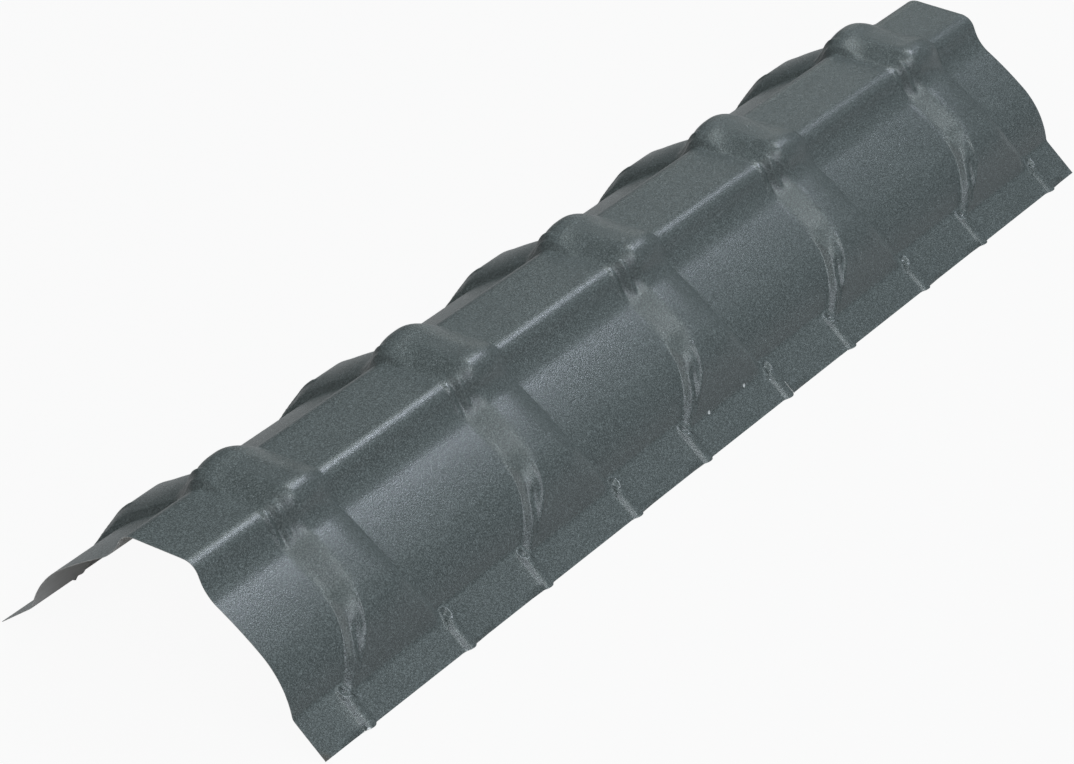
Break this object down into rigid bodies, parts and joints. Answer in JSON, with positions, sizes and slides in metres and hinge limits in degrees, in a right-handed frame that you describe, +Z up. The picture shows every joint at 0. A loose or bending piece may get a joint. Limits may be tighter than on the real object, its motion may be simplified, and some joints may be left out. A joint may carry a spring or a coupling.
{
  "type": "roof ridge cap",
  "caption": "Pressed sheet-steel roof ridge cap with a flat crown, ogee sides, raised collars and ribbed flanges; covers the joint where two roof slopes meet.",
  "frame": {"origin": "midway along the cap and across it, on the level of the two flange edges that it stands on", "axes": "+X along the ridge, +Y across it, +Z up through the crown"},
  "size_m": [1.244, 0.3298, 0.1455],
  "materials": {
    "coated_sheet": "matt dark grey-green coat with a fine metallic grain outside, pale grey-beige back coat inside"
  },
  "bodies": {
    "root": {"ridge_cap": "coated_sheet"}
  },
  "joints": []
}
